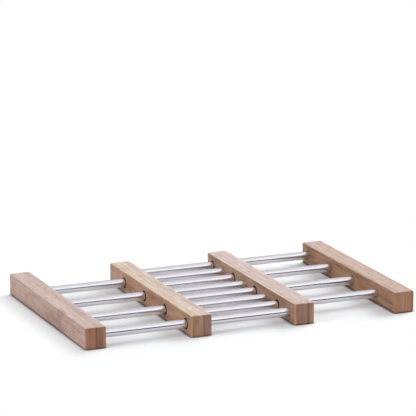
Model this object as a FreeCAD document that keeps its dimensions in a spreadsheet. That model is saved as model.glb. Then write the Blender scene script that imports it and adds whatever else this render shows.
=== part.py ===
import FreeCAD, Part
import Sketcher
import math
import os

# Expanding trivet: four square bamboo bars and eight stainless steel tubes, in two halves that
# slide through each other. The left half is the left outer bar, the right inner bar and the four
# tubes between them, which run freely through the left inner bar. The right half is the same
# thing turned half round. Millimetres. +X runs along the tubes, +Y along the bars from the front
# end to the back, +Z up. The origin is on the table, in the middle of the trivet half open.

SIZES = [
    # Every bar is the same length of planed and sanded bamboo.
    ("bar_length", "200", "length of a bar, along Y"),
    ("bar_width", "20", "width of a bar, along X"),
    ("bar_height", "20", "height of a bar, and of the whole trivet"),
    ("edge_radius", "1.5", "sanded rounding of all the edges of a bar"),
    # The two bars of one half are a fixed way apart, and the halves stand half open.
    ("half_span", "200", "outer bar to inner bar of the same half, centre to centre"),
    ("rest_opening", "100", "outer bar to the inner bar beside it at rest, centre to centre"),
    # Each half has its own row of polished steel tubes.
    ("tubes_per_half", "4", "number of tubes in one half"),
    ("tube_diameter", "8", "outer diameter of a tube"),
    ("tube_wall", "0.6", "wall of a tube"),
    ("tube_end_chamfer", "0.2", "deburred outer rim at each end of a tube"),
    ("tube_end_margin", "12.5", "end of a bar to the axis of the nearest tube"),
    # A tube is glued into a blind socket at each end, and passes a wider hole between them.
    ("socket_depth", "12", "depth of the blind socket that holds a tube's end"),
    ("glue_gap", "0.05", "gap for glue all round a tube in its socket"),
    ("sliding_gap", "0.8", "gap all round a tube in the hole that it slides through"),
]

doc = FreeCAD.newDocument("ExpandingTrivet")
sheet = doc.addObject("Spreadsheet::Sheet", "Sizes")
for row, (alias, value, meaning) in enumerate(SIZES, start=1):
    sheet.set(f"A{row}", meaning)
    sheet.set(f"B{row}", value)
    sheet.setAlias(f"B{row}", alias)
doc.recompute()

# Places and sizes that follow from the ones above.
TUBE_SPACING = "(Sizes.bar_length - 2 * Sizes.tube_end_margin) / (2 * Sizes.tubes_per_half - 1)"
TUBE_AXIS_HEIGHT = "Sizes.bar_height / 2"
TUBE_LENGTH = "Sizes.half_span - Sizes.bar_width + 2 * Sizes.socket_depth"
SOCKET_DIAMETER = "Sizes.tube_diameter + 2 * Sizes.glue_gap"
SLIDING_HOLE_DIAMETER = "Sizes.tube_diameter + 2 * Sizes.sliding_gap"

# The side faces of a bar, from its middle.
RIGHT_FACE = "Sizes.bar_width / 2"
LEFT_FACE = "-Sizes.bar_width / 2"

# Each bar from left to right: its name, the half that it belongs to, its middle along X, and the
# side face that its sockets are in, which looks towards the other bar of its half.
BARS = [
    ("left_outer_bar", "left", "-(Sizes.half_span + Sizes.rest_opening) / 2", RIGHT_FACE),
    ("left_inner_bar", "right", "-(Sizes.half_span - Sizes.rest_opening) / 2", RIGHT_FACE),
    ("right_inner_bar", "left", "(Sizes.half_span - Sizes.rest_opening) / 2", LEFT_FACE),
    ("right_outer_bar", "right", "(Sizes.half_span + Sizes.rest_opening) / 2", LEFT_FACE),
]

# The tubes of the two halves take turns along the bars: the left half has the frontmost one and
# the right half the rearmost. These are the middle of each half's tubes along X, and the place of
# its frontmost tube along Y.
TUBE_MIDDLE = {"left": "-Sizes.rest_opening / 2", "right": "Sizes.rest_opening / 2"}
FIRST_TUBE = {
    "left": "-Sizes.bar_length / 2 + Sizes.tube_end_margin",
    "right": f"-Sizes.bar_length / 2 + Sizes.tube_end_margin + {TUBE_SPACING}",
}


def origin_plane(body, role):
    """The body's own origin plane with this role."""
    return next(feature for feature in body.Origin.OriginFeatures if feature.Role == role)


def new_sketch(body, name, role):
    """An empty sketch of the body, on one of its own origin planes."""
    sketch = body.newObject("Sketcher::SketchObject", name)
    sketch.AttachmentSupport = [(origin_plane(body, role), "")]
    sketch.MapMode = "FlatFace"
    return sketch


def constrain(sketch, name, constraint, expression):
    """Adds a dimension to the sketch under this name, and binds it to the expression."""
    index = sketch.addConstraint(constraint)
    sketch.renameConstraint(index, name)
    sketch.setExpression(f"Constraints.{name}", expression)


def draw_section(sketch):
    """A bar's square section in the XZ plane: centred on the vertical axis, standing on zero."""
    half, full = sheet.bar_width / 2, sheet.bar_height
    corners = [(-half, 0), (half, 0), (half, full), (-half, full)]
    points = [FreeCAD.Vector(x, y, 0) for x, y in corners]
    for start, end in zip(points, points[1:] + points[:1]):
        sketch.addGeometry(Part.LineSegment(start, end), False)
    bottom, right, top, left = range(4)
    for first, second in ((bottom, right), (right, top), (top, left), (left, bottom)):
        sketch.addConstraint(Sketcher.Constraint("Coincident", first, 2, second, 1))
    sketch.addConstraint(Sketcher.Constraint("Vertical", right))
    sketch.addConstraint(Sketcher.Constraint("Vertical", left))
    sketch.addConstraint(Sketcher.Constraint("Horizontal", top))
    sketch.addConstraint(Sketcher.Constraint("Symmetric", bottom, 1, bottom, 2, -1, 1))
    constrain(sketch, "width", Sketcher.Constraint("DistanceX", top, 2, top, 1, 2 * half),
              "Sizes.bar_width")
    constrain(sketch, "height", Sketcher.Constraint("DistanceY", right, 1, right, 2, full),
              "Sizes.bar_height")


def draw_circle(sketch, name, along, height, diameter):
    """A circle in the YZ plane, this far along the bar and this high."""
    radius = sheet.tube_diameter / 2
    index = sketch.addGeometry(Part.Circle(FreeCAD.Vector(radius, radius, 0),
                                           FreeCAD.Vector(0, 0, 1), radius), False)
    constrain(sketch, f"{name}_diameter",
              Sketcher.Constraint("Diameter", index, 2 * radius), diameter)
    constrain(sketch, f"{name}_along",
              Sketcher.Constraint("DistanceX", -1, 1, index, 3, radius), along)
    constrain(sketch, f"{name}_height",
              Sketcher.Constraint("DistanceY", -1, 1, index, 3, radius), height)


def drill_row(body, name, half, diameter, face, depth=None):
    """A row of holes for the tubes of this half, as deep as given or else right through."""
    sketch = new_sketch(body, f"{name}_place", "YZ_Plane")
    sketch.setExpression(".AttachmentOffset.Base.z", face)
    draw_circle(sketch, "hole", FIRST_TUBE[half], TUBE_AXIS_HEIGHT, diameter)
    hole = body.newObject("PartDesign::Pocket", name)
    hole.Profile = sketch
    hole.Reversed = face == LEFT_FACE
    if depth is None:
        hole.Type = "ThroughAll"
    else:
        hole.setExpression("Length", depth)
    doc.recompute()
    pattern = body.newObject("PartDesign::LinearPattern", f"{name}_row")
    pattern.Originals = [hole]
    pattern.Direction = (sketch, ["H_Axis"])
    pattern.Mode = "Spacing"
    pattern.setExpression("Offset", f"2 * {TUBE_SPACING}")
    pattern.setExpression("Occurrences", "Sizes.tubes_per_half")
    body.Tip = pattern
    doc.recompute()


def make_bar(name, half, middle, face):
    """A bar with its sockets, and an inner bar also with the holes that the other tubes pass."""
    body = doc.addObject("PartDesign::Body", name)
    body.Label = name
    section = new_sketch(body, f"{name}_section", "XZ_Plane")
    draw_section(section)
    block = body.newObject("PartDesign::Pad", f"{name}_block")
    block.Profile = section
    block.SideType = "Symmetric"
    block.setExpression("Length", "Sizes.bar_length")
    doc.recompute()
    sanded = body.newObject("PartDesign::Fillet", f"{name}_sanded_edges")
    sanded.Base = (block, [""])
    sanded.UseAllEdges = True
    sanded.setExpression("Radius", "Sizes.edge_radius")
    doc.recompute()
    drill_row(body, f"{name}_sockets", half, SOCKET_DIAMETER, face, "Sizes.socket_depth")
    is_inner = "inner" in name
    if is_inner:
        other_half = "right" if half == "left" else "left"
        drill_row(body, f"{name}_sliding_holes", other_half, SLIDING_HOLE_DIAMETER, face)
    body.setExpression(".Placement.Base.x", middle)
    doc.recompute()
    check_drilling(body, sanded, is_inner)
    return body


def check_drilling(body, sanded, is_inner):
    """Stops if the holes in a bar took out more or less wood than their sizes say."""
    socket_radius = sheet.tube_diameter / 2 + sheet.glue_gap
    sliding_radius = sheet.tube_diameter / 2 + sheet.sliding_gap
    expected = sheet.tubes_per_half * math.pi * socket_radius ** 2 * sheet.socket_depth
    if is_inner:
        expected += sheet.tubes_per_half * math.pi * sliding_radius ** 2 * sheet.bar_width
    removed = sanded.Shape.Volume - body.Shape.Volume
    if abs(removed - expected) > expected / 1000:
        raise RuntimeError(f"{body.Label}: drilling removed {removed:.1f}, not {expected:.1f}")


def make_tube(name, half, number):
    """A polished steel tube from socket bottom to socket bottom, with so many in front of it."""
    body = doc.addObject("PartDesign::Body", name)
    body.Label = name
    section = new_sketch(body, f"{name}_section", "YZ_Plane")
    draw_circle(section, "outer", "0", "0", "Sizes.tube_diameter")
    draw_circle(section, "inner", "0", "0", "Sizes.tube_diameter - 2 * Sizes.tube_wall")
    wall = body.newObject("PartDesign::Pad", f"{name}_wall")
    wall.Profile = section
    wall.SideType = "Symmetric"
    wall.setExpression("Length", TUBE_LENGTH)
    doc.recompute()
    rims = outer_rims(wall.Shape)
    ends = body.newObject("PartDesign::Chamfer", f"{name}_deburred_ends")
    ends.Base = (wall, rims)
    ends.setExpression("Size", "Sizes.tube_end_chamfer")
    body.setExpression(".Placement.Base.x", TUBE_MIDDLE[half])
    body.setExpression(".Placement.Base.y", f"{FIRST_TUBE[half]} + {2 * number} * {TUBE_SPACING}")
    body.setExpression(".Placement.Base.z", TUBE_AXIS_HEIGHT)
    doc.recompute()
    return body


def outer_rims(shape):
    """Names of the two circles where a tube's outer wall meets its ends."""
    radius = sheet.tube_diameter / 2
    return [f"Edge{index}" for index, edge in enumerate(shape.Edges, start=1)
            if isinstance(edge.Curve, Part.Circle) and abs(edge.Curve.Radius - radius) < radius / 100]


pieces = [make_bar(*bar) for bar in BARS]
for half in ("left", "right"):
    for number in range(int(sheet.tubes_per_half)):
        pieces.append(make_tube(f"{half}_tube_{number + 1}", half, number))
doc.recompute()

for item in doc.Objects:
    if "Invalid" in item.State or "Error" in item.State:
        raise RuntimeError(f"{item.Label} failed to compute")
for piece in pieces:
    if piece.Shape.isNull() or not piece.Shape.isValid():
        raise RuntimeError(f"{piece.Label} has no valid shape")

os.makedirs("parts", exist_ok=True)
for piece in pieces:
    piece.Shape.exportStep(f"parts/{piece.Label}.step")
    box = piece.Shape.BoundBox
    print(f"{piece.Label}: x {box.XMin:.2f} to {box.XMax:.2f}, y {box.YMin:.2f} to {box.YMax:.2f}, "
          f"z {box.ZMin:.2f} to {box.ZMax:.2f}, {piece.Shape.Volume:.0f} mm3")
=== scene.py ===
import math

import bmesh
import bpy
import numpy as np
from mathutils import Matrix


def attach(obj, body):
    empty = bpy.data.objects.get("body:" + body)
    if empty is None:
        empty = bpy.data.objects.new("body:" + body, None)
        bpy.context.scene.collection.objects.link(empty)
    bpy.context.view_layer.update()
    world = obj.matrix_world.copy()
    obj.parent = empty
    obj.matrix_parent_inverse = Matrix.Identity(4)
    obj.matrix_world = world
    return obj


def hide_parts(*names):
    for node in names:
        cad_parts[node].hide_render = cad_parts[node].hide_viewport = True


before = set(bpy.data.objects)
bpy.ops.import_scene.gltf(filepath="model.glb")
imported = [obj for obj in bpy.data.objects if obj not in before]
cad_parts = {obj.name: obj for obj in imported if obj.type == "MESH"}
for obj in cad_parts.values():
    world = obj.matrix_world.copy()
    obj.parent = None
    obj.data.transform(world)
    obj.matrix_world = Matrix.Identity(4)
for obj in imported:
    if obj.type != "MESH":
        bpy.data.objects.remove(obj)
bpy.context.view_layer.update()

# Left outer bar. Square bar of steamed laminated bamboo: strips of split cane stand upright side
# by side, glued, steamed brown, planed and sanded round on every edge. Its inner side face has
# four blind sockets for the left half's tubes. Its sizes and the tubes' are in millimetres.
MM = 0.001
BAR_SIDE = 20.0
BAR_LENGTH = 200.0
EDGE_RADIUS = 1.5

# Centre to centre: the two bars of one half, and at rest an outer bar and the inner bar beside it.
HALF_SPAN = 200.0
REST_OPENING = 100.0
LEFT_OUTER_X = -(HALF_SPAN + REST_OPENING) / 2

# A bar has room for eight holes, one in the middle of each eighth of its length. A blind socket
# holds a tube's end in glue, and a tube of the other half slides through a wider hole.
TUBES_PER_HALF = 4
TUBE_RADIUS = 4.0
GLUE_GAP = 0.05
SLIDING_GAP = 0.8
HOLES_PER_BAR = 2 * TUBES_PER_HALF
HOLE_Y = BAR_LENGTH * ((np.arange(HOLES_PER_BAR) + 0.5) / HOLES_PER_BAR - 0.5)
SOCKET_RADIUS = TUBE_RADIUS + GLUE_GAP
SOCKET_DEPTH = 12.0
SOCKET_RIM = 0.12
SLIDING_RADIUS = TUBE_RADIUS + SLIDING_GAP
SLIDING_RIM = 0.3

# How fine a bar's mesh is. The narrow first and last rows of a flat keep it flat in smooth
# shading. A drilled cell has rows at CELL_SHARES of the way from its outline to the hole, and
# round the hole's rim at RIM_TURNS. Points closer than SAME_POINT become one.
FLAT_STEPS = 16
CELL_STEPS = 24
CORNER_STEPS = 6
WALL_STEPS = 4
NARROW_ROW = 0.15
CELL_SHARES = np.array([0.0, 0.35, 0.65, 0.85, 1.0])
RIM_TURNS = np.radians([30.0, 60.0, 90.0])
SAME_POINT = 0.001

FLAT_HALF = BAR_SIDE / 2 - EDGE_RADIUS
FLAT_PLACES = np.linspace(-FLAT_HALF, FLAT_HALF, FLAT_STEPS + 1)
FLAT_PLACES[1] = -FLAT_HALF + NARROW_ROW
FLAT_PLACES[-2] = FLAT_HALF - NARROW_ROW
STRAIGHT_HALF = BAR_LENGTH / 2 - EDGE_RADIUS


def finish_mesh(name, points, faces, body, node, materials, sharp_degrees, finishes=None):
    """Put points in mm and faces of four into a piece, close its seams, hang it on its body and
    hide the CAD part that it stands for. finishes gives for each face which of the materials it
    has."""
    mesh = bpy.data.meshes.new(name)
    mesh.from_pydata((np.asarray(points) * MM).tolist(), [], np.asarray(faces).tolist())
    for material in materials:
        mesh.materials.append(material)
    if finishes is not None:
        mesh.polygons.foreach_set("material_index", finishes)
    edit = bmesh.new()
    edit.from_mesh(mesh)
    bmesh.ops.remove_doubles(edit, verts=edit.verts, dist=SAME_POINT * MM)
    bmesh.ops.recalc_face_normals(edit, faces=edit.faces)
    edit.to_mesh(mesh)
    edit.free()
    mesh.shade_smooth()
    mesh.set_sharp_from_angle(angle=math.radians(sharp_degrees))
    piece = bpy.data.objects.new(name, mesh)
    bpy.context.scene.collection.objects.link(piece)
    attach(piece, body)
    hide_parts(node)


def grid_faces(rows, columns, wrap):
    """Faces of four between neighbours of a grid of points numbered row by row; with wrap, the
    last column joins the first."""
    row = np.arange(rows - 1)[:, None]
    column = np.arange(columns if wrap else columns - 1)[None, :]
    following = (column + 1) % columns
    corners = (row * columns + column, row * columns + following,
               (row + 1) * columns + following, (row + 1) * columns + column)
    return np.stack(corners, axis=-1)


def bar_section():
    """Points round a bar's section and the outward direction of each: a square drawn in by the
    edge radius, where the direction turns a quarter circle at each corner."""
    corner_turns = np.linspace(0, np.pi / 2, CORNER_STEPS + 1)[1:-1]
    section = []
    outward = []
    for quarter in range(4):
        facing = quarter * np.pi / 2
        normal = np.array([np.cos(facing), np.sin(facing)])
        tangent = np.array([-np.sin(facing), np.cos(facing)])
        section.append(FLAT_HALF * normal + FLAT_PLACES[:, None] * tangent)
        outward.append(np.tile(normal, (len(FLAT_PLACES), 1)))
        turned = facing + corner_turns
        section.append(np.tile(FLAT_HALF * (normal + tangent), (len(turned), 1)))
        outward.append(np.stack([np.cos(turned), np.sin(turned)], axis=1))
    return np.concatenate(section), np.concatenate(outward)


def bar_cells():
    """Places along a bar's straight part, from the front, in one cell for each hole."""
    edges = np.linspace(-BAR_LENGTH / 2, BAR_LENGTH / 2, HOLES_PER_BAR + 1)
    edges[0] = -STRAIGHT_HALF
    edges[-1] = STRAIGHT_HALF
    cells = [np.linspace(near, far, CELL_STEPS + 1) for near, far in zip(edges[:-1], edges[1:])]
    cells[0][1] = -STRAIGHT_HALF + NARROW_ROW
    cells[-1][-2] = STRAIGHT_HALF - NARROW_ROW
    return cells


def drilled_cell(places, hole_y, kind):
    """Points of one cell of a side face with a hole in it, as (along, up), and how deep each row
    of them lies.

    Each point of the cell's outline has a spoke to the hole's axis, and the rows follow these
    spokes inwards: over the flat to the rim, down a quarter circle of the rim's radius, down the
    hole's wall, and in a blind socket over its floor to the middle."""
    is_socket = kind == "socket"
    radius = SOCKET_RADIUS if is_socket else SLIDING_RADIUS
    rim = SOCKET_RIM if is_socket else SLIDING_RIM
    depth = SOCKET_DEPTH if is_socket else BAR_SIDE / 2
    low = np.full(len(places) - 1, -FLAT_HALF)
    near = np.full(FLAT_STEPS, places[0])
    far = np.full(FLAT_STEPS, places[-1])
    outline = np.concatenate([
        np.stack([places[:-1], low], axis=1), np.stack([far, FLAT_PLACES[:-1]], axis=1),
        np.stack([places[:0:-1], -low], axis=1), np.stack([near, FLAT_PLACES[:0:-1]], axis=1)])
    centre = np.array([hole_y, 0.0])
    spoke = outline - centre
    spoke = spoke / np.linalg.norm(spoke, axis=1, keepdims=True)
    share = CELL_SHARES[:, None, None]
    flat = outline * (1 - share) + (centre + (radius + rim) * spoke) * share
    radii = np.append(radius + rim * (1 - np.sin(RIM_TURNS)), np.full(WALL_STEPS, radius))
    depths = np.append(rim * (1 - np.cos(RIM_TURNS)), np.linspace(rim, depth, WALL_STEPS + 1)[1:])
    if is_socket:
        radii = np.append(radii, [radius / 2, 0.0])
        depths = np.append(depths, [depth, depth])
    hole = centre + radii[:, None, None] * spoke
    return np.concatenate([flat, hole]), np.append(np.zeros(len(CELL_SHARES)), depths)


def bar_surface(middle_x, left_holes, right_holes):
    """Points and faces of a square bar with rounded edges and ends, drilled from two side faces,
    and for each face a 1 inside a hole or a 0 outside.

    A point of the shell is a point of the section plus push times its outward direction. Along
    the bar push is the edge radius. Over each end it goes with the cosine of an angle that runs
    to 90 degrees, while the distance along goes with its sine. A drilled cell takes the place of
    the shell's faces there. left_holes and right_holes say for each cell, from the front, whether
    it has a socket, a sliding hole or nothing."""
    section, outward = bar_section()
    cells = bar_cells()
    straight = np.concatenate([cell[:-1] for cell in cells] + [cells[-1][-1:]])
    end_turns = np.linspace(0, np.pi / 2, CORNER_STEPS + 1)[1:]
    along = np.concatenate([
        -STRAIGHT_HALF - EDGE_RADIUS * np.sin(end_turns[::-1]), straight,
        STRAIGHT_HALF + EDGE_RADIUS * np.sin(end_turns)])
    push = np.concatenate([
        EDGE_RADIUS * np.cos(end_turns[::-1]), np.full(len(straight), EDGE_RADIUS),
        EDGE_RADIUS * np.cos(end_turns)])
    rings = section[None, :, :] + push[:, None, None] * outward[None, :, :]
    shell = np.stack([rings[..., 0], np.repeat(along[:, None], len(section), axis=1),
                      rings[..., 1]], axis=-1)
    shell_faces = grid_faces(len(along), len(section), wrap=True)
    undrilled = np.ones(shell_faces.shape[:2], bool)
    for holes, quarter in ((right_holes, 0), (left_holes, 2)):
        for number, kind in enumerate(holes):
            if kind:
                row = len(end_turns) + number * CELL_STEPS
                column = quarter * len(section) // 4
                undrilled[row:row + CELL_STEPS, column:column + FLAT_STEPS] = False
    surfaces = [(shell, shell_faces[undrilled], np.zeros(undrilled.sum(), int))]

    cap_x, cap_z = np.meshgrid(FLAT_PLACES, FLAT_PLACES, indexing="ij")
    cap_faces = grid_faces(len(FLAT_PLACES), len(FLAT_PLACES), wrap=False).reshape(-1, 4)
    for end_y in (-BAR_LENGTH / 2, BAR_LENGTH / 2):
        cap = np.stack([cap_x, np.full_like(cap_x, end_y), cap_z], axis=-1)
        surfaces.append((cap, cap_faces, np.zeros(len(cap_faces), int)))

    for holes, face_side in ((right_holes, 1), (left_holes, -1)):
        for number, kind in enumerate(holes):
            if kind:
                plane, inward = drilled_cell(cells[number], HOLE_Y[number], kind)
                x = np.repeat(face_side * (BAR_SIDE / 2 - inward)[:, None], plane.shape[1], axis=1)
                cell = np.stack([x, plane[..., 0], plane[..., 1]], axis=-1)
                in_hole = np.repeat((inward[1:] > 0)[:, None], plane.shape[1], axis=1)
                cell_faces = grid_faces(*plane.shape[:2], wrap=True).reshape(-1, 4)
                surfaces.append((cell, cell_faces, in_hole.reshape(-1).astype(int)))

    points = [surface.reshape(-1, 3) for surface, faces, drilled in surfaces]
    first = np.cumsum([0] + [len(group) for group in points])
    all_faces = [start + faces for start, (surface, faces, drilled) in zip(first, surfaces)]
    all_drilled = np.concatenate([drilled for surface, faces, drilled in surfaces])
    placed = np.concatenate(points) + np.array([middle_x, 0.0, BAR_SIDE / 2])
    return placed, np.concatenate(all_faces), all_drilled


def linear(hex_colour):
    """Linear colour of an sRGB hex one: c/12.92 up to 0.04045, else ((c + 0.055)/1.055)^2.4."""
    value = np.array([int(hex_colour[i:i + 2], 16) for i in (1, 3, 5)]) / 255
    low = value / 12.92
    high = ((value + 0.055) / 1.055) ** 2.4
    return (*np.where(value <= 0.04045, low, high), 1.0)


def add(tree, kind, inputs=None, stops=(), **settings):
    """Add one node with its properties, its ramp's stops and its input values or links."""
    node = tree.nodes.new("ShaderNode" + kind)
    for key, value in settings.items():
        setattr(node, key, value)
    for i, (position, colour) in enumerate(stops):
        ramp = node.color_ramp.elements
        stop = ramp[i] if i < 2 else ramp.new(position)
        stop.position = position
        stop.color = colour
    for socket, value in (inputs or {}).items():
        if isinstance(value, bpy.types.NodeSocket):
            tree.links.new(value, node.inputs[socket])
        else:
            node.inputs[socket].default_value = value
    return node


def bar_places(tree, middle_x):
    """Where on its bar a point lies: its place and how far along it is (in metres), how far across
    from the left face and up from the underside (0 to 1), how far it faces up, and whether it is
    on a sawn end or on the flat of an outermost strip (0 to 1, blended over the rounded edges)."""
    place = add(tree, "TexCoord")
    split = add(tree, "SeparateXYZ", {0: place.outputs["Object"]})
    left_x = (middle_x - BAR_SIDE / 2) * MM
    across = add(tree, "MapRange", {"Value": split.outputs["X"], "From Min": left_x,
                                    "From Max": left_x + BAR_SIDE * MM})
    height = add(tree, "MapRange", {"Value": split.outputs["Z"], "From Max": BAR_SIDE * MM})
    facing = add(tree, "SeparateXYZ", {0: place.outputs["Normal"]})
    where = {"place": place.outputs["Object"], "along": split.outputs["Y"],
             "across": across.outputs["Result"], "height": height.outputs["Result"],
             "facing up": facing.outputs["Z"]}
    for flat, axis in (("sawn end", "Y"), ("strip flat", "X")):
        turned = add(tree, "Math", {0: facing.outputs[axis]}, operation="ABSOLUTE")
        on_flat = add(tree, "MapRange", {"Value": turned.outputs[0], "From Min": 0.5,
                                         "From Max": 0.9}, interpolation_type="SMOOTHSTEP")
        where[flat] = on_flat.outputs["Result"]
    return where


def glued_strips(tree, where, strips, side_colour_and_shade):
    """The strips' own colours. Each keeps its colour up to the next, over a narrow change. They
    differ most on the sawn ends, and the flat of an outermost strip has a colour of its own, set
    darker and deeper than the top partly as the cane's own skin and partly as painted shade."""
    change_half = 0.4
    contrast_along = 0.36
    starts = [start for start, colour in strips]
    colours = [linear(colour) for start, colour in strips]
    stops = [(0.0, colours[0])]
    for start, before, after in zip(starts[1:], colours[:-1], colours[1:]):
        stops.append(((start - change_half) / BAR_SIDE, before))
        stops.append(((start + change_half) / BAR_SIDE, after))
    strip_colour = add(tree, "ValToRGB", {"Fac": where["across"]}, stops=stops)
    middle_colour = np.mean(colours, axis=0)
    contrast = add(tree, "MapRange", {"Value": where["sawn end"], "To Min": contrast_along})
    mixed = add(tree, "Mix", {0: contrast.outputs["Result"], 6: tuple(middle_colour),
                              7: strip_colour.outputs[0]}, data_type="RGBA")
    return add(tree, "Mix", {0: where["strip flat"], 6: mixed.outputs[2],
                             7: linear(side_colour_and_shade)}, data_type="RGBA").outputs[2]


def cane_grain(tree, where, colour, offset):
    """Three patterns darken the strips, one after the other: the layers of the cane wall, which
    stand upright and run far along the bar; soft mottling; and short bundles of fibre. Real
    bundles are 0.2 to 0.4 mm across, drawn 0.8 mm across so that they show. It gives the colour
    and the patterns."""
    off_top = add(tree, "Math", {0: where["strip flat"], 1: where["sawn end"]},
                  operation="MAXIMUM")
    strength = add(tree, "MapRange", {"Value": off_top.outputs[0], "To Min": 1.0, "To Max": 0.9})
    patterns = {}
    for pattern, size_mm, detail, tones in (
            ("layers", (1.1, 90.0, 26.0), 2.0,
             ((0.3, "#D9C5B2"), (0.5, "#FBF8F4"), (0.7, "#FFFFFF"))),
            ("mottling", (4.0, 15.0, 11.0), 2.0,
             ((0.3, "#F0E2D2"), (0.5, "#FDFBF8"), (0.7, "#FFFFFF"))),
            ("fibres", (0.8, 13.0, 0.8), 3.0,
             ((0.34, "#E3D4C4"), (0.5, "#FBF8F4"), (0.64, "#FFFFFF")))):
        spread = add(tree, "Mapping", {"Vector": where["place"], "Location": offset,
                                       "Scale": tuple(1 / (size * MM) for size in size_mm)})
        noise = add(tree, "TexNoise", {"Vector": spread.outputs[0], "Scale": 1.0,
                                       "Detail": detail, "Roughness": 0.6})
        tone = add(tree, "ValToRGB", {"Fac": noise.outputs[0]},
                   stops=[(level, linear(shade)) for level, shade in tones])
        darkened = add(tree, "Mix", {0: strength.outputs["Result"], 6: colour,
                                     7: tone.outputs[0]}, data_type="RGBA", blend_type="MULTIPLY")
        colour = darkened.outputs[2]
        patterns[pattern] = noise.outputs[0]
    return colour, patterns


def cane_wall_patches(tree, where, colour, side_patches, offset):
    """The flat of an outermost strip cuts slowly through the cane wall, so it shows wide patches
    of the wall's olive outside and of its paler, redder inside."""
    size_mm = (20.0, 40.0, 5.0)
    spread = add(tree, "Mapping", {"Vector": where["place"], "Location": offset,
                                   "Scale": tuple(1 / (size * MM) for size in size_mm)})
    patch = add(tree, "TexNoise", {"Vector": spread.outputs[0], "Scale": 1.0,
                                   "Detail": 4.0, "Roughness": 0.62})
    tone = add(tree, "ValToRGB", {"Fac": patch.outputs[0]},
               stops=[(0.35, linear("#C0A58A")), (0.46, linear("#EDE0D0")),
                      (0.55, linear("#FFF4EE")), (0.66, linear("#FFFFFF"))])
    amount = add(tree, "Math", {0: where["strip flat"], 1: side_patches}, operation="MULTIPLY")
    return add(tree, "Mix", {0: amount.outputs[0], 6: colour, 7: tone.outputs[0]},
               data_type="RGBA", blend_type="MULTIPLY").outputs[2]


def glue_lines_stained(tree, where, colour, glue_lines):
    """Real glue lines are 0.1 mm wide. The stained wood beside one is drawn 2 mm wide on the
    sawn ends, where it shows, and much fainter along the bar."""
    line_half = 0.3
    stain_half = 1.3
    faintness_along = 0.18
    seen = add(tree, "MapRange", {"Value": where["sawn end"], "To Min": faintness_along})
    for position, darkness in glue_lines:
        from_line = add(tree, "Math", {0: where["across"], 1: position / BAR_SIDE},
                        operation="SUBTRACT")
        distance = add(tree, "Math", {0: from_line.outputs[0]}, operation="ABSOLUTE")
        stain = add(tree, "MapRange", {"Value": distance.outputs[0],
                                       "From Min": line_half / BAR_SIDE,
                                       "From Max": stain_half / BAR_SIDE,
                                       "To Min": darkness, "To Max": 0.0})
        amount = add(tree, "Math", {0: stain.outputs["Result"], 1: seen.outputs["Result"]},
                     operation="MULTIPLY")
        line = add(tree, "Mix", {0: amount.outputs[0], 6: colour, 7: linear("#4C2E1D")},
                   data_type="RGBA")
        colour = line.outputs[2]
    return colour


def cane_knots(tree, where, colour, knots, mottling):
    """A knot of the cane is a soft dark band across some of the strips, bowed along the bar and
    broken up by the mottling."""
    bow_mm = 26.0
    band_core = 0.3
    for along_mm, from_mm, to_mm, half_width, darkness in knots:
        bow = add(tree, "Math", {0: mottling, 1: bow_mm * MM, 2: (along_mm - bow_mm / 2) * MM},
                  operation="MULTIPLY_ADD")
        away = add(tree, "Math", {0: where["along"], 1: bow.outputs[0]}, operation="SUBTRACT")
        distance = add(tree, "Math", {0: away.outputs[0]}, operation="ABSOLUTE")
        band = add(tree, "MapRange", {"Value": distance.outputs[0], "From Min": band_core * MM,
                                      "From Max": half_width * MM, "To Min": darkness,
                                      "To Max": 0.0},
                   interpolation_type="SMOOTHSTEP")
        in_strips = add(tree, "Math", {0: where["across"], 1: (from_mm + to_mm) / 2 / BAR_SIDE,
                                       2: (to_mm - from_mm) / 2 / BAR_SIDE}, operation="COMPARE")
        amount = add(tree, "Math", {0: band.outputs["Result"], 1: in_strips.outputs[0]},
                     operation="MULTIPLY")
        knot = add(tree, "Mix", {0: amount.outputs[0], 6: colour, 7: linear("#6A4232")},
                   data_type="RGBA")
        colour = knot.outputs[2]
    return colour


def painted_edge_highlight_and_shade(tree, where, colour):
    """Painted light and shade on the rounded edges: the upper edges are mixed towards a pale
    colour as a painted highlight, and the rounding just below them is a trace darker as painted
    shade.
    The lower edges are dark as painted shade where the bar stands on the floor, but hardly so at
    its sawn ends."""
    edge_highlight = add(tree, "ValToRGB", {"Fac": where["facing up"]},
                 stops=[(facing, (amount, amount, amount, 1.0)) for facing, amount in
                        ((0.52, 0.0), (0.7, 0.25), (0.92, 0.2), (0.99, 0.0))])
    pale = add(tree, "Mix", {0: edge_highlight.outputs[0], 6: colour, 7: linear("#E3D0C6")},
               data_type="RGBA")
    rounding_shade = add(tree, "ValToRGB", {"Fac": where["facing up"]},
               stops=[(0.0, linear("#FFFFFF")), (0.25, linear("#F6F4F2")),
                      (0.52, linear("#F2F0EE")), (0.7, linear("#FFFFFF"))])
    foot_shade = add(tree, "ValToRGB", {"Fac": where["height"]},
                stops=[(0.0, linear("#FFFFFF")), (0.004, linear("#8A8480")),
                       (0.05, linear("#ABA6A2")), (0.11, linear("#FFFFFF"))])
    from_middle = add(tree, "Math", {0: where["along"]}, operation="ABSOLUTE")
    off_end = add(tree, "MapRange", {"Value": from_middle.outputs[0],
                                     "From Min": (BAR_LENGTH / 2 - 2 * EDGE_RADIUS) * MM,
                                     "From Max": (BAR_LENGTH / 2 - EDGE_RADIUS) * MM,
                                     "To Min": 0.9, "To Max": 0.1})
    colour = pale.outputs[2]
    for amount, edge in ((1.0, rounding_shade), (off_end.outputs["Result"], foot_shade)):
        toned = add(tree, "Mix", {0: amount, 6: colour, 7: edge.outputs[0]},
                    data_type="RGBA", blend_type="MULTIPLY")
        colour = toned.outputs[2]
    return colour


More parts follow.
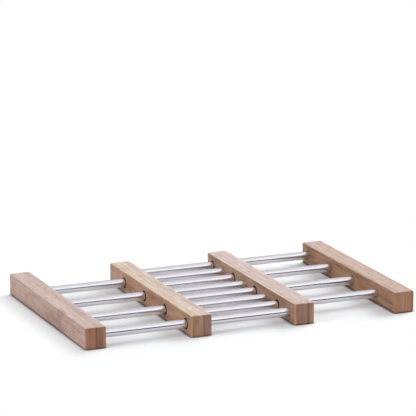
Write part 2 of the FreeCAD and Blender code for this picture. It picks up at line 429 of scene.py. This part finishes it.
def bamboo(name, middle_x, strips, end_tone_and_shade, side_colour_and_shade, side_patches, side_gloss, glue_lines,
           knots, offset):
    """Steamed laminated bamboo, planed, sanded to 240 grit and finished with oil: a satin sheen,
    fine short fibres along the bar, upright strips and cane layers of slightly different brown, a
    dark line on the ends where two strips are glued, and a faint cross band at each knot of the
    cane.

    strips are (mm from the left face, colour), glue_lines (mm, darkness) and knots (mm along the
    bar, mm from and to across it, mm half wide, darkness). The end tone darkens the sawn ends,
    partly as end grain soaks up more oil and partly as painted shade. The side colour is that of
    the flat of an outermost strip, darker and deeper than the top partly as the cane's own skin
    and partly as painted shade; side_patches says how strongly that is patched, and side_gloss how
    far it is polished. offset gives each bar its own part of the patterns."""
    material = bpy.data.materials.new(name)
    material.use_nodes = True
    tree = material.node_tree
    tree.nodes.clear()
    where = bar_places(tree, middle_x)
    colour = glued_strips(tree, where, strips, side_colour_and_shade)
    colour, patterns = cane_grain(tree, where, colour, offset)
    colour = cane_wall_patches(tree, where, colour, side_patches, offset)
    colour = glue_lines_stained(tree, where, colour, glue_lines)
    colour = cane_knots(tree, where, colour, knots, patterns["mottling"])
    # The sawn ends are darkened, partly as end grain soaks up more oil and partly as painted
    # shade.
    sawn = add(tree, "Mix", {0: where["sawn end"], 6: colour, 7: linear(end_tone_and_shade)},
               data_type="RGBA", blend_type="MULTIPLY")
    # Painted highlight on the upper edges, and painted shade on the rounding below them and on the
    # lower edges.
    colour = painted_edge_highlight_and_shade(tree, where, sawn.outputs[2])

    # Sanding leaves the wood satin. The oil film shines a little on the top and the ends, and
    # on a side face as far as side_gloss says, but not down in the lower edges, which are painted
    # dark as shade.
    sanded = add(tree, "MapRange", {"Value": patterns["fibres"], "From Min": 0.3,
                                    "From Max": 0.7, "To Min": 0.46, "To Max": 0.42})
    roughness = add(tree, "Math", {0: where["strip flat"], 1: 0.1 * (1 - side_gloss),
                                   2: sanded.outputs["Result"]}, operation="MULTIPLY_ADD")
    polish = add(tree, "MapRange", {"Value": where["strip flat"], "To Min": 0.3,
                                    "To Max": side_gloss})
    clear_of_edge = add(tree, "MapRange", {"Value": where["height"], "From Min": 0.04,
                                           "From Max": 0.12})
    oil_film = add(tree, "Math", {0: polish.outputs["Result"], 1: clear_of_edge.outputs["Result"]},
                   operation="MULTIPLY")
    bump = add(tree, "Bump", {"Height": patterns["fibres"], "Strength": 0.25,
                              "Distance": 0.05 * MM})
    shader = add(tree, "BsdfPrincipled", {"Base Color": colour, "IOR": 1.55,
                                          "Roughness": roughness.outputs[0],
                                          "Coat Weight": oil_film.outputs[0],
                                          "Coat Roughness": 0.1,
                                          "Normal": bump.outputs[0]})
    add(tree, "OutputMaterial", {"Surface": shader.outputs[0]})
    return material


# The holes' walls and rims: bamboo painted nearly black as a hole's shade, rough, with rings
# left by the bit.
hole_shade_bamboo = bpy.data.materials.new("bamboo painted nearly black as a hole's shade")
hole_shade_bamboo.use_nodes = True
tree = hole_shade_bamboo.node_tree
tree.nodes.clear()
place = add(tree, "TexCoord")
ring_place = add(tree, "Mapping", {"Vector": place.outputs["Object"],
                                   "Scale": (1 / (0.4 * MM), 1 / (6 * MM), 1 / (6 * MM))})
ring = add(tree, "TexNoise", {"Vector": ring_place.outputs[0], "Scale": 1.0, "Detail": 2.0})
hole_shade_colour = add(tree, "ValToRGB", {"Fac": ring.outputs[0]},
               stops=[(0.35, linear("#120B08")), (0.65, linear("#261912"))])
ring_bump = add(tree, "Bump", {"Height": ring.outputs[0], "Strength": 0.5, "Distance": 0.1 * MM})
shader = add(tree, "BsdfPrincipled", {"Base Color": hole_shade_colour.outputs[0], "Roughness": 0.9,
                                      "Specular IOR Level": 0.15,
                                      "Normal": ring_bump.outputs[0]})
add(tree, "OutputMaterial", {"Surface": shader.outputs[0]})

NO_HOLES = [None] * HOLES_PER_BAR
LEFT_TUBE_SOCKETS = ["socket", None] * TUBES_PER_HALF
left_outer_bamboo = bamboo(
    "steamed bamboo, left outer bar", LEFT_OUTER_X,
    strips=[(0.0, "#E3D0D6"), (3.2, "#D5BFBD"), (5.0, "#D7C2B8"), (10.1, "#C9B2B7"),
            (13.0, "#BFAAAD"), (16.8, "#E0CFD0")],
    end_tone_and_shade="#D5AC86", side_colour_and_shade="#BFA5A0", side_patches=0.6, side_gloss=0.4,
    glue_lines=[(3.2, 0.1), (10.4, 0.45)],
    knots=[(-36, 0, 3.2, 13, 0.34), (52, 10.1, 20, 5, 0.16)], offset=(0.0, 0.0, 0.0))
points, faces, drilled = bar_surface(LEFT_OUTER_X, NO_HOLES, LEFT_TUBE_SOCKETS)
finish_mesh("left_outer_bamboo_bar", points, faces, "left_half", "left_outer_bar",
            [left_outer_bamboo, hole_shade_bamboo], sharp_degrees=40, finishes=drilled)

# Tubes of the left half. Four drawn stainless steel tubes, mirror polished, cut to length with a
# broken edge, and glued at both ends into the blind sockets of the left outer bar and the right
# inner bar. Between them they run free through the left inner bar.
TUBE_WALL = 0.6
TUBE_CHAMFER = 0.2
TUBE_LENGTH = HALF_SPAN - BAR_SIDE + 2 * SOCKET_DEPTH
TUBE_AXIS_Z = BAR_SIDE / 2
TUBE_SIDES = 96
OUTER_RINGS = 18
BORE_RINGS = 5


def tube_surface(start_x, axis_y):
    """Points and faces of a tube along X: its wall's section, a closed line of (along, radius)
    points with chamfered outer corners, carried once round the axis."""
    end_x = start_x + TUBE_LENGTH
    bore = TUBE_RADIUS - TUBE_WALL
    outer = np.linspace(start_x + TUBE_CHAMFER, end_x - TUBE_CHAMFER, OUTER_RINGS)
    inside = np.linspace(end_x, start_x, BORE_RINGS)
    along = np.concatenate([[start_x], outer, [end_x], inside])
    radius = np.concatenate([[TUBE_RADIUS - TUBE_CHAMFER], np.full(len(outer), TUBE_RADIUS),
                             [TUBE_RADIUS - TUBE_CHAMFER], np.full(len(inside), bore)])
    along = np.append(along, along[0])
    radius = np.append(radius, radius[0])
    turn = np.linspace(0, 2 * np.pi, TUBE_SIDES + 1)[:-1]
    x = np.repeat(along[:, None], len(turn), axis=1)
    y = axis_y + radius[:, None] * np.cos(turn)
    z = TUBE_AXIS_Z + radius[:, None] * np.sin(turn)
    surface = np.stack([x, y, z], axis=-1).reshape(-1, 3)
    return surface, grid_faces(len(along), len(turn), wrap=True).reshape(-1, 4)


# Polished stainless steel: bright neutral metal. The polishing belt leaves hairlines that run
# round the tube, so it mirrors the room sharply across its width and smeared along its length.
# Real hairlines are a few hundredths of a millimetre apart, drawn 0.5 mm apart so that they show.
# The cloth leaves faint wipe marks 4 mm wide.
polished_steel = bpy.data.materials.new("stainless steel tube, polished round")
polished_steel.use_nodes = True
tree = polished_steel.node_tree
tree.nodes.clear()
place = add(tree, "TexCoord")
hairline_place = add(tree, "Mapping", {"Vector": place.outputs["Object"],
                                       "Scale": (1 / (0.5 * MM), 1 / (9 * MM), 1 / (9 * MM))})
hairline = add(tree, "TexNoise", {"Vector": hairline_place.outputs[0], "Scale": 1.0,
                                  "Detail": 3.0})
wipe_place = add(tree, "Mapping", {"Vector": place.outputs["Object"],
                                   "Scale": (1 / (30 * MM), 1 / (4 * MM), 1 / (4 * MM))})
wipe = add(tree, "TexNoise", {"Vector": wipe_place.outputs[0], "Scale": 1.0, "Detail": 2.0})
steel_tone = add(tree, "ValToRGB", {"Fac": wipe.outputs[0]},
                 stops=[(0.3, linear("#DEDCE1")), (0.7, linear("#E7E5EA"))])
steel_roughness = add(tree, "MapRange", {"Value": wipe.outputs[0], "From Min": 0.3,
                                         "From Max": 0.7, "To Min": 0.13, "To Max": 0.16})
steel_bump = add(tree, "Bump", {"Height": hairline.outputs[0], "Strength": 0.15,
                                "Distance": 0.004 * MM})

# The tangent runs round the tube, and a quarter turn lays the smear along it.
round_tube = add(tree, "Tangent", direction_type="RADIAL", axis="X")
steel = add(tree, "BsdfPrincipled", {"Base Color": steel_tone.outputs[0], "Metallic": 1.0,
                                     "Roughness": steel_roughness.outputs["Result"],
                                     "Anisotropic": 0.95, "Anisotropic Rotation": 0.25,
                                     "Tangent": round_tube.outputs[0],
                                     "Normal": steel_bump.outputs[0]})
add(tree, "OutputMaterial", {"Surface": steel.outputs[0]})

LEFT_TUBE_START_X = LEFT_OUTER_X + BAR_SIDE / 2 - SOCKET_DEPTH
for number, axis_y in enumerate(HOLE_Y[0::2], start=1):
    points, faces = tube_surface(LEFT_TUBE_START_X, axis_y)
    finish_mesh(f"left_steel_tube_{number}", points, faces, "left_half", f"left_tube_{number}",
                [polished_steel], sharp_degrees=30)

# Right inner bar. The far end of the left half, of the same bamboo: four blind sockets in its
# left face close the left half's tubes, and between them four wider holes go right through, in
# which the right half's tubes slide.
RIGHT_INNER_X = LEFT_OUTER_X + HALF_SPAN
SOCKET_THEN_SLIDING = ["socket", "sliding"] * TUBES_PER_HALF
EVERY_SECOND_SLIDING = [None, "sliding"] * TUBES_PER_HALF
right_inner_bamboo = bamboo(
    "steamed bamboo, right inner bar", RIGHT_INNER_X,
    strips=[(0.0, "#FEFDFF"), (2.0, "#CFBBB8"), (9.5, "#D6C6D1"), (11.0, "#D1BDB7"),
            (14.3, "#CBBDBF"), (16.6, "#E5D2CC")],
    end_tone_and_shade="#D3B196", side_colour_and_shade="#B19785", side_patches=0.8, side_gloss=0.1,
    glue_lines=[(13.8, 0.4)],
    knots=[(18, 0, 14.3, 5, 0.16), (-70, 14.3, 20, 5, 0.14)], offset=(7.3, 2.9, 4.1))
points, faces, drilled = bar_surface(RIGHT_INNER_X, SOCKET_THEN_SLIDING, EVERY_SECOND_SLIDING)
finish_mesh("right_inner_bamboo_bar", points, faces, "left_half", "right_inner_bar",
            [right_inner_bamboo, hole_shade_bamboo], sharp_degrees=40, finishes=drilled)

# Left inner bar. The near end of the right half, turned half round: its four blind sockets open
# to the right, and the left half's tubes slide through the four wider holes between them.
LEFT_INNER_X = LEFT_OUTER_X + REST_OPENING
SLIDING_THEN_SOCKET = ["sliding", "socket"] * TUBES_PER_HALF
EVERY_FIRST_SLIDING = ["sliding", None] * TUBES_PER_HALF
left_inner_bamboo = bamboo(
    "steamed bamboo, left inner bar", LEFT_INNER_X,
    strips=[(0.0, "#F0EAC2"), (1.5, "#E1CCC2"), (4.8, "#ECD7C4"), (8.8, "#F0E0E1"),
            (12.6, "#D3C2C9"), (17.0, "#D2C5C2")],
    end_tone_and_shade="#CEAC95", side_colour_and_shade="#BB9C83", side_patches=0.8, side_gloss=0.1,
    glue_lines=[(12.4, 0.5)],
    knots=[(-12, 12.6, 20, 5, 0.15), (76, 0, 12.6, 7, 0.2)], offset=(3.7, 8.2, 1.6))
points, faces, drilled = bar_surface(LEFT_INNER_X, EVERY_FIRST_SLIDING, SLIDING_THEN_SOCKET)
finish_mesh("left_inner_bamboo_bar", points, faces, "right_half", "left_inner_bar",
            [left_inner_bamboo, hole_shade_bamboo], sharp_degrees=40, finishes=drilled)

# Tubes of the right half. Four more of the same tubes, set midway between the others, glued into
# the left inner bar and the right outer bar and free in the right inner bar.
RIGHT_TUBE_START_X = LEFT_INNER_X + BAR_SIDE / 2 - SOCKET_DEPTH
for number, axis_y in enumerate(HOLE_Y[1::2], start=1):
    points, faces = tube_surface(RIGHT_TUBE_START_X, axis_y)
    finish_mesh(f"right_steel_tube_{number}", points, faces, "right_half",
                f"right_tube_{number}", [polished_steel], sharp_degrees=30)

# Right outer bar. The last bar, which closes the right half with four blind sockets in its left
# face; its other faces are plain.
RIGHT_OUTER_X = LEFT_INNER_X + HALF_SPAN
RIGHT_TUBE_SOCKETS = [None, "socket"] * TUBES_PER_HALF
right_outer_bamboo = bamboo(
    "steamed bamboo, right outer bar", RIGHT_OUTER_X,
    strips=[(0.0, "#C8AB9E"), (2.8, "#CEB4AC"), (5.0, "#D2BAB5"), (10.2, "#CDB7A6"),
            (16.7, "#B8A090")],
    end_tone_and_shade="#EAC6A4", side_colour_and_shade="#AD8A72", side_patches=0.9, side_gloss=0.1,
    glue_lines=[(10.4, 0.12), (17.2, 0.25)],
    knots=[(-54, 0, 10.2, 7, 0.2), (30, 10.2, 16.7, 5, 0.15)], offset=(5.2, 6.7, 9.4))
points, faces, drilled = bar_surface(RIGHT_OUTER_X, RIGHT_TUBE_SOCKETS, NO_HOLES)
finish_mesh("right_outer_bamboo_bar", points, faces, "right_half", "right_outer_bar",
            [right_outer_bamboo, hole_shade_bamboo], sharp_degrees=40, finishes=drilled)

# Studio floor. A matt white sweep, a hair below the bars, that takes the trivet's shadow. It
# fades to plain white past the bars' ends, past the left outer bar, and past the place that the
# right outer bar reaches with the trivet open, so that the camera sees plain white elsewhere.
FLOOR_HALF = 6.0
FLOOR_DROP = 0.05 * MM
FADE_LEFT = (LEFT_OUTER_X - BAR_SIDE / 2) * MM
FADE_RIGHT = (RIGHT_OUTER_X + REST_OPENING - BAR_SIDE / 2) * MM
SIDE_FADE = 24.0
END_FADE = 60.0
CREVICE_REACH = 2.2 * MM
OPEN_REACH = 5.0 * MM
OPEN_GLOW = 0.12
MIRRORED_GLOW = 0.4
MIRRORED_WHITE = 0.55
floor_mesh = bpy.data.meshes.new("floor")
floor_mesh.from_pydata(
    [(-FLOOR_HALF, -FLOOR_HALF, -FLOOR_DROP), (FLOOR_HALF, -FLOOR_HALF, -FLOOR_DROP),
     (FLOOR_HALF, FLOOR_HALF, -FLOOR_DROP), (-FLOOR_HALF, FLOOR_HALF, -FLOOR_DROP)],
    [], [(0, 1, 2, 3)])
floor = bpy.data.objects.new("floor", floor_mesh)
bpy.context.scene.collection.objects.link(floor)
floor_white = bpy.data.materials.new("matt white studio floor")
floor_white.use_nodes = True
floor_mesh.materials.append(floor_white)
tree = floor_white.node_tree
tree.nodes.clear()
place = add(tree, "TexCoord")
path = add(tree, "LightPath")
split = add(tree, "SeparateXYZ", {0: place.outputs["Object"]})
past_left = add(tree, "Math", {0: FADE_LEFT, 1: split.outputs["X"]}, operation="SUBTRACT")
past_right = add(tree, "Math", {0: split.outputs["X"], 1: FADE_RIGHT}, operation="SUBTRACT")
past_side = add(tree, "Math", {0: past_left.outputs[0], 1: past_right.outputs[0]},
                operation="MAXIMUM")
from_middle = add(tree, "Math", {0: split.outputs["Y"]}, operation="ABSOLUTE")
past_end = add(tree, "Math", {0: from_middle.outputs[0], 1: BAR_LENGTH / 2 * MM},
               operation="SUBTRACT")

# Each fade is a list of (mm past the bars, share of plain white), and the stronger one counts.
fades = []
for past, width, levels in (
        (past_side, SIDE_FADE, ((1.5, 0.0), (4.0, 0.16), (7.0, 0.28), (14.0, 0.6), (24.0, 1.0))),
        (past_end, END_FADE, ((2.0, 0.0), (6.5, 0.15), (22.0, 0.15), (60.0, 1.0)))):
    share = add(tree, "MapRange", {"Value": past.outputs[0], "From Max": width * MM})
    fades.append(add(tree, "ValToRGB", {"Fac": share.outputs["Result"]},
                     stops=[(at / width, (level, level, level, 1.0)) for at, level in levels]))
far = add(tree, "Math", {0: fades[0].outputs[0], 1: fades[1].outputs[0]}, operation="MAXIMUM")
mirrored_ray = add(tree, "Math", {0: path.outputs["Is Glossy Ray"],
                                  1: path.outputs["Is Transmission Ray"]}, operation="MAXIMUM")
seen_ray = add(tree, "Math", {0: mirrored_ray.outputs[0], 1: path.outputs["Is Camera Ray"]},
               operation="MAXIMUM")
seen_far = add(tree, "Math", {0: far.outputs[0], 1: seen_ray.outputs[0]},
               operation="MULTIPLY")

# The floor's colour is darkened as painted shade in the crevice along a bar's foot. Where it
# lies open it glows a little, less so as the steel mirrors it, and the glow lights nothing else.
crevice = add(tree, "AmbientOcclusion", {"Color": linear("#F1F3F5"), "Distance": CREVICE_REACH},
              samples=16)
matt = add(tree, "BsdfDiffuse", {"Color": crevice.outputs["Color"]})
openness = add(tree, "AmbientOcclusion", {"Distance": OPEN_REACH}, samples=16)
glow_strength = add(tree, "Math", {0: openness.outputs["AO"], 1: OPEN_GLOW},
                    operation="MULTIPLY")
glow = add(tree, "Emission", {"Color": linear("#FFFFFF"), "Strength": glow_strength.outputs[0]})
no_glow = add(tree, "Emission", {"Strength": 0.0})
glowing_ray = add(tree, "Math", {0: mirrored_ray.outputs[0], 1: MIRRORED_GLOW,
                                 2: path.outputs["Is Camera Ray"]}, operation="MULTIPLY_ADD")
seen_glow = add(tree, "MixShader", {0: glowing_ray.outputs[0], 1: no_glow.outputs[0],
                                    2: glow.outputs[0]})
near_floor = add(tree, "AddShader", {0: matt.outputs[0], 1: seen_glow.outputs[0]})
white_level = add(tree, "Math", {0: path.outputs["Is Camera Ray"], 1: 1 - MIRRORED_WHITE,
                                 2: MIRRORED_WHITE}, operation="MULTIPLY_ADD")
plain_white = add(tree, "Emission", {"Color": linear("#FFFFFF"),
                                     "Strength": white_level.outputs[0]})
floor_look = add(tree, "MixShader", {0: seen_far.outputs[0], 1: near_floor.outputs[0],
                                     2: plain_white.outputs[0]})
add(tree, "OutputMaterial", {"Surface": floor_look.outputs[0]})

# Studio light. A large soft box stands to the right and a little behind, a smaller one low on
# the left fills the side faces, a weak one in front shows in the steel as its highlight, and
# white walls soften the rest. Powers are in watts, sizes and places in metres.
KEY_POWER = 28.0
KEY_SIZE = 1.3
KEY_PLACE = (1.3, 0.5, 0.8)
FILL_POWER = 9.0
FILL_SIZE = 0.8
FILL_PLACE = (-1.3, -0.2, 0.6)
FRONT_POWER = 1.1
FRONT_SIZE = 1.2
FRONT_PLACE = (0.61, -0.87, 1.2)
WALL_LEVEL = 0.40
for name, place, size, power, mirrored in (
        ("soft box right", KEY_PLACE, KEY_SIZE, KEY_POWER, False),
        ("soft box left", FILL_PLACE, FILL_SIZE, FILL_POWER, False),
        ("soft box in front", FRONT_PLACE, FRONT_SIZE, FRONT_POWER, True)):
    light_data = bpy.data.lights.new(name, "AREA")
    light_data.shape = "SQUARE"
    light_data.size = size
    light_data.energy = power
    light = bpy.data.objects.new(name, light_data)
    bpy.context.scene.collection.objects.link(light)
    light.location = place
    light.rotation_euler = (-light.location).to_track_quat("-Z", "Y").to_euler()
    light.visible_glossy = mirrored

# The room that the steel mirrors is white, dark low down in front and grey halfway up behind.
# Each half of it is toned by height, from level (0) to straight up (1), and the two blend where
# they meet. Below the floor's level it is the same turned over.
world = bpy.data.worlds.new("studio")
bpy.context.scene.world = world
world.use_nodes = True
tree = world.node_tree
tree.nodes.clear()
path = add(tree, "LightPath")
place = add(tree, "TexCoord")
split = add(tree, "SeparateXYZ", {0: place.outputs["Generated"]})
height = add(tree, "Math", {0: split.outputs["Z"]}, operation="ABSOLUTE")
in_front = add(tree, "ValToRGB", {"Fac": height.outputs[0]},
               stops=[(0.0, linear("#242226")), (0.15, linear("#302E32")),
                      (0.27, linear("#76737A")), (0.4, linear("#FFFFFF")),
                      (0.7, linear("#FFFFFF")), (0.8, linear("#EEEDF0")),
                      (1.0, linear("#ECEBEE"))])
behind = add(tree, "ValToRGB", {"Fac": height.outputs[0]},
             stops=[(0.0, linear("#FFFFFF")), (0.3, linear("#FFFFFF")),
                    (0.42, linear("#C4C1C8")), (0.68, linear("#D0CDD4")),
                    (0.84, linear("#FAF9FC")), (1.0, linear("#F0EFF2"))])
side = add(tree, "MapRange", {"Value": split.outputs["Y"], "From Min": -0.15, "From Max": 0.15},
           interpolation_type="SMOOTHSTEP")
room = add(tree, "Mix", {0: side.outputs["Result"], 6: in_front.outputs[0],
                         7: behind.outputs[0]}, data_type="RGBA")
mirrored = add(tree, "Background", {"Color": room.outputs[2], "Strength": 1.0})
walls = add(tree, "Background", {"Color": linear("#FFFFFF"), "Strength": WALL_LEVEL})
seen = add(tree, "Background", {"Color": linear("#FFFFFF"), "Strength": 1.0})
in_metal = add(tree, "Math", {0: path.outputs["Is Glossy Ray"],
                              1: path.outputs["Is Transmission Ray"]}, operation="MAXIMUM")
lit = add(tree, "MixShader", {0: in_metal.outputs[0], 1: walls.outputs[0],
                              2: mirrored.outputs[0]})
look = add(tree, "MixShader", {0: path.outputs["Is Camera Ray"], 1: lit.outputs[0],
                               2: seen.outputs[0]})
add(tree, "OutputWorld", {"Surface": look.outputs[0]})

# Camera: a long lens from the front left, a little above the trivet.
CAMERA_AIM = np.array([-0.0016, 0.0, 0.0902])
CAMERA_DISTANCE = 2.604
CAMERA_AZIMUTH = math.radians(-22.96)
CAMERA_ELEVATION = math.radians(13.72)
CAMERA_LENS = 246.3
CAMERA_SENSOR = 36.0
backward = np.array([math.sin(CAMERA_AZIMUTH) * math.cos(CAMERA_ELEVATION),
                     -math.cos(CAMERA_AZIMUTH) * math.cos(CAMERA_ELEVATION),
                     math.sin(CAMERA_ELEVATION)])
camera_data = bpy.data.cameras.new("camera")
camera_data.lens = CAMERA_LENS
camera_data.sensor_width = CAMERA_SENSOR
camera = bpy.data.objects.new("camera", camera_data)
bpy.context.scene.collection.objects.link(camera)
camera.location = CAMERA_AIM + CAMERA_DISTANCE * backward
camera.rotation_euler = (math.pi / 2 - CAMERA_ELEVATION, 0.0, CAMERA_AZIMUTH)
bpy.context.scene.camera = camera
bpy.context.scene.view_settings.view_transform = "Standard"
